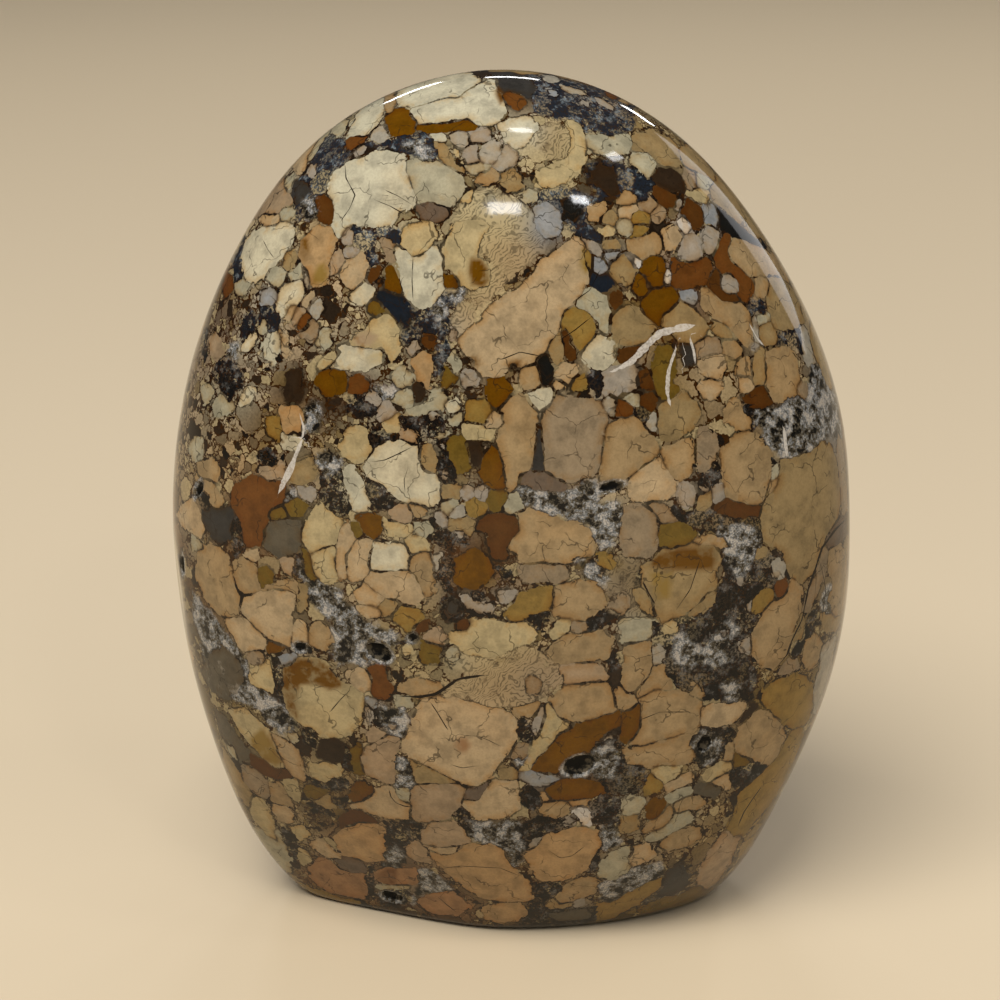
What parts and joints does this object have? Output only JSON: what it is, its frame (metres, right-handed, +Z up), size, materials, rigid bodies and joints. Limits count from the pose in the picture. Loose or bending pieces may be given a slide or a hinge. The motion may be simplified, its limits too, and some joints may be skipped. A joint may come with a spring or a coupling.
{
  "type": "polished stone freeform",
  "caption": "Upright polished freeform of brecciated jasper, egg-shaped with a small flat base, used as a table or shelf ornament.",
  "frame": {"origin": "centre of the bounding box on the plane of the flat base", "axes": "+Z up, from the base to the top; the broad face of the picture looks along -Y; X runs across the broad face"},
  "size_m": [0.0898, 0.0504, 0.114],
  "materials": {
    "polished_jasper": "polished"
  },
  "bodies": {
    "root": {"jasper_freeform": "polished_jasper"}
  },
  "joints": []
}
